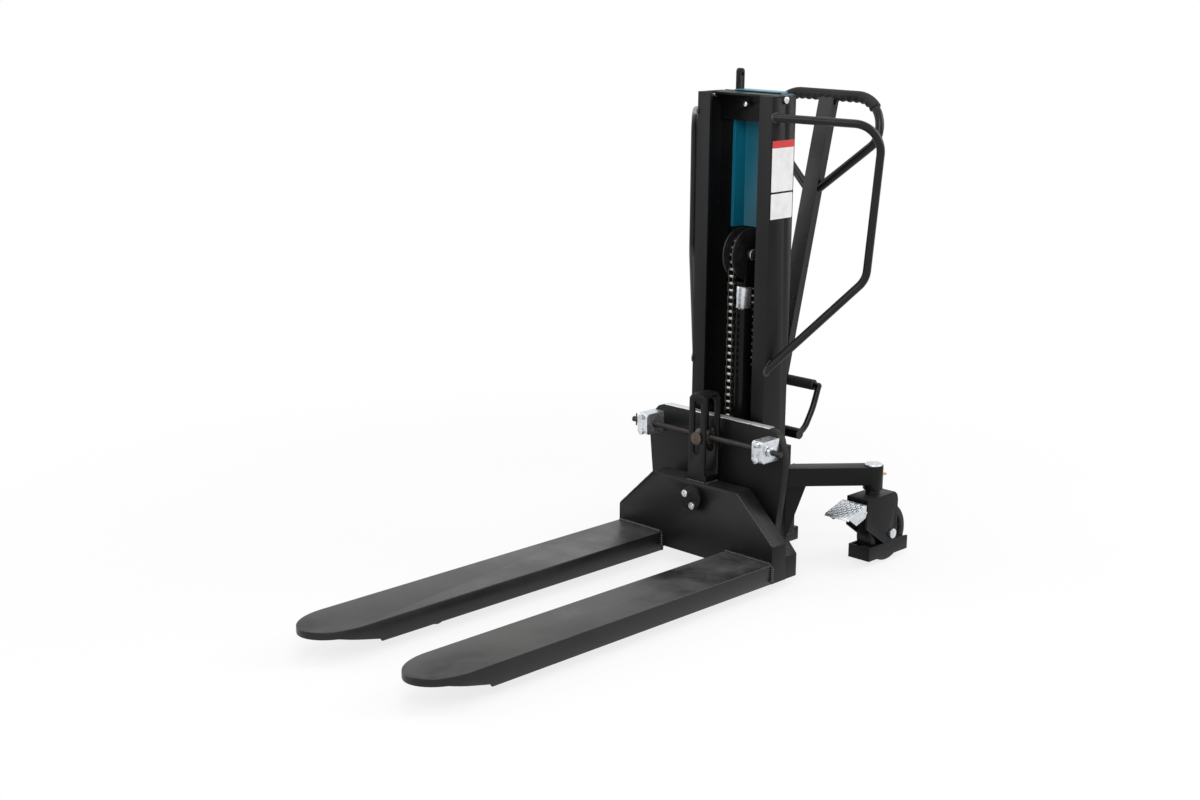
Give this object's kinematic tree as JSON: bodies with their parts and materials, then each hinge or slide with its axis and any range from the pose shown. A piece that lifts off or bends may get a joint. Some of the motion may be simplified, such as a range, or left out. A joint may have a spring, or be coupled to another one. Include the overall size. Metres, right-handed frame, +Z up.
{
  "type": "walkie stacker",
  "caption": "Manual walkie stacker: forks on a rolling heel, channel mast with chain lift, foot pump tiller, side handles and braked swivel casters.",
  "frame": {"origin": "on the floor, at the middle of the whole box in plan", "axes": "+Z up, forks point along -Y, tiller at +Y, +X is the right-hand caster as seen from behind the tiller"},
  "size_m": [0.668, 1.7004, 1.327],
  "materials": {
    "black_frame": "satin black powder coat with light orange peel and scuffs",
    "black_fork": "satin black powder coat, scuffed on top",
    "black_carriage": "satin black powder coat",
    "black_tube": "semi-gloss black powder coat on bent tube",
    "teal_cover": "semi-gloss teal paint on folded sheet",
    "zinc": "bright zinc plating",
    "brass": "plain brass",
    "cylinder_black": "gloss black enamel",
    "pump_iron": "black painted casting",
    "chrome": "hard chrome",
    "chain_steel": "oiled dark steel with bright pin ends",
    "sheave_steel": "dark turned steel",
    "screw_steel": "dark oiled steel thread",
    "bronze": "oiled bronze",
    "wheel_black": "black moulded wheel",
    "rubber": "black moulded rubber"
  },
  "bodies": {
    "chassis": {"base_frame": "black_frame", "leg_left": "black_frame", "leg_right": "black_frame", "mast_left": "black_frame", "mast_right": "black_frame", "mast_top_plate": "black_frame", "back_plate": "black_frame", "rear_cover": "teal_cover", "frame_bolts": "zinc", "axle_pins": "zinc", "side_handle_left": "black_tube", "side_handle_right": "black_tube", "outrigger_left": "black_frame", "outrigger_right": "black_frame", "swivel_caps": "zinc", "grease_nipples": "brass", "lift_cylinder": "cylinder_black", "pump_body": "pump_iron", "pressure_pipe": "zinc"},
    "piston": {"piston_rod": "chrome", "rod_coupling": "zinc", "sheave_yoke": "black_carriage", "sheave_pin": "zinc", "chain_wrap": "chain_steel", "chain_rear": "chain_steel"},
    "sheave": {"chain_sheave": "sheave_steel"},
    "carriage": {"carriage": "black_carriage", "bearing_block_left": "zinc", "bearing_block_right": "zinc", "block_screws": "zinc", "pivot_pin": "black_carriage", "pivot_screws": "zinc", "chain_front": "chain_steel"},
    "mast_roller_low_left": {"mast_roller_low_left": "sheave_steel"},
    "mast_roller_low_right": {"mast_roller_low_right": "sheave_steel"},
    "mast_roller_high_left": {"mast_roller_high_left": "sheave_steel"},
    "mast_roller_high_right": {"mast_roller_high_right": "sheave_steel"},
    "forks": {"fork_left": "black_fork", "fork_right": "black_fork", "heel_box": "black_fork", "slotted_lever": "black_carriage"},
    "nut": {"screw_nut": "bronze"},
    "screw": {"lead_screw": "screw_steel"},
    "caster_left": {"caster_yoke_left": "black_frame", "caster_axle_left": "zinc"},
    "caster_right": {"caster_yoke_right": "black_frame", "caster_axle_right": "zinc"},
    "caster_wheel_left": {"caster_wheel_left": "wheel_black"},
    "caster_wheel_right": {"caster_wheel_right": "wheel_black"},
    "brake_left": {"brake_pedal_left": "zinc"},
    "brake_right": {"brake_pedal_right": "zinc"},
    "load_roller_left": {"load_roller_left": "wheel_black"},
    "load_roller_right": {"load_roller_right": "wheel_black"},
    "tiller": {"tiller": "black_tube", "grip_sleeves": "rubber", "foot_pedal": "black_tube", "pedal_sleeve": "rubber"},
    "plunger": {"pump_plunger": "chrome", "plunger_spring": "zinc"},
    "lowering_lever": {"lowering_lever": "black_tube"}
  },
  "joints": [
    {"name": "piston_slide", "type": "slide", "parent": "chassis", "child": "piston", "axis": [0, 0, 1], "range_m": [0, 0.276], "deforming": ["chain_rear"]},
    {"name": "carriage_slide", "type": "slide", "parent": "piston", "child": "carriage", "axis": [0, 0, 1], "range_m": [0, 0.276], "deforming": ["chain_front"]},
    {"name": "sheave_spin", "type": "hinge", "parent": "piston", "child": "sheave", "pos_m": [0, 0.48883, 0.847], "axis": [1, 0, 0], "continuous": true},
    {"name": "mast_roller_low_left_spin", "type": "hinge", "parent": "carriage", "child": "mast_roller_low_left", "pos_m": [-0.0986, 0.47983, 0.19], "axis": [1, 0, 0], "continuous": true},
    {"name": "mast_roller_low_right_spin", "type": "hinge", "parent": "carriage", "child": "mast_roller_low_right", "pos_m": [0.0986, 0.47983, 0.19], "axis": [1, 0, 0], "continuous": true},
    {"name": "mast_roller_high_left_spin", "type": "hinge", "parent": "carriage", "child": "mast_roller_high_left", "pos_m": [-0.0986, 0.47983, 0.372], "axis": [1, 0, 0], "continuous": true},
    {"name": "mast_roller_high_right_spin", "type": "hinge", "parent": "carriage", "child": "mast_roller_high_right", "pos_m": [0.0986, 0.47983, 0.372], "axis": [1, 0, 0], "continuous": true},
    {"name": "fork_roll", "type": "hinge", "parent": "carriage", "child": "forks", "pos_m": [0, 0.30483, 0.207], "axis": [0, 1, 0], "range_deg": [-3, 3]},
    {"name": "nut_travel", "type": "slide", "parent": "carriage", "child": "nut", "axis": [1, 0, 0], "range_m": [-0.009, 0.009]},
    {"name": "screw_spin", "type": "hinge", "parent": "carriage", "child": "screw", "pos_m": [0, 0.34483, 0.369], "axis": [1, 0, 0], "range_deg": [-400, 400]},
    {"name": "caster_swivel_left", "type": "hinge", "parent": "chassis", "child": "caster_left", "pos_m": [-0.29, 0.71283, 0.2], "axis": [0, 0, 1], "continuous": true},
    {"name": "caster_wheel_spin_left", "type": "hinge", "parent": "caster_left", "child": "caster_wheel_left", "pos_m": [-0.29, 0.75883, 0.08], "axis": [1, 0, 0], "continuous": true},
    {"name": "brake_pedal_hinge_left", "type": "hinge", "parent": "caster_left", "child": "brake_left", "pos_m": [-0.29, 0.63083, 0.166], "axis": [1, 0, 0], "range_deg": [0, 15]},
    {"name": "load_roller_spin_left", "type": "hinge", "parent": "chassis", "child": "load_roller_left", "pos_m": [-0.1945, -0.45217, 0.03], "axis": [1, 0, 0], "continuous": true},
    {"name": "caster_swivel_right", "type": "hinge", "parent": "chassis", "child": "caster_right", "pos_m": [0.29, 0.71283, 0.2], "axis": [0, 0, 1], "continuous": true},
    {"name": "caster_wheel_spin_right", "type": "hinge", "parent": "caster_right", "child": "caster_wheel_right", "pos_m": [0.29, 0.75883, 0.08], "axis": [1, 0, 0], "continuous": true},
    {"name": "brake_pedal_hinge_right", "type": "hinge", "parent": "caster_right", "child": "brake_right", "pos_m": [0.29, 0.63083, 0.166], "axis": [1, 0, 0], "range_deg": [0, 15]},
    {"name": "load_roller_spin_right", "type": "hinge", "parent": "chassis", "child": "load_roller_right", "pos_m": [0.1945, -0.45217, 0.03], "axis": [1, 0, 0], "continuous": true},
    {"name": "tiller_pump", "type": "hinge", "parent": "chassis", "child": "tiller", "pos_m": [0, 0.61443, 0.347], "axis": [-1, 0, 0], "range_deg": [0, 40], "stiffness_Nm_per_rad": 40, "springref_deg": -34.38},
    {"name": "plunger_slide", "type": "slide", "parent": "chassis", "child": "plunger", "axis": [0, 0, -1], "range_m": [0, 0.018], "deforming": ["plunger_spring"]},
    {"name": "lowering_lever_hinge", "type": "hinge", "parent": "chassis", "child": "lowering_lever", "pos_m": [-0.11, 0.58283, 0.43], "axis": [-1, 0, 0], "range_deg": [0, 6], "stiffness_Nm_per_rad": 4, "springref_deg": -17.19}
  ],
  "couplings": [
    {"joint": "carriage_slide", "follows": "piston_slide", "ratio": 1},
    {"joint": "sheave_spin", "follows": "piston_slide", "rad_per_m": -21.277},
    {"joint": "mast_roller_low_left_spin", "follows": "piston_slide", "rad_per_m": 50.505},
    {"joint": "mast_roller_low_right_spin", "follows": "piston_slide", "rad_per_m": 50.505},
    {"joint": "mast_roller_high_left_spin", "follows": "piston_slide", "rad_per_m": -50.505},
    {"joint": "mast_roller_high_right_spin", "follows": "piston_slide", "rad_per_m": -50.505},
    {"joint": "nut_travel", "follows": "fork_roll", "m_per_rad": 0.162},
    {"joint": "screw_spin", "follows": "fork_roll", "ratio": 127.23},
    {"joint": "plunger_slide", "follows": "tiller_pump", "m_per_rad": 0.024}
  ]
}
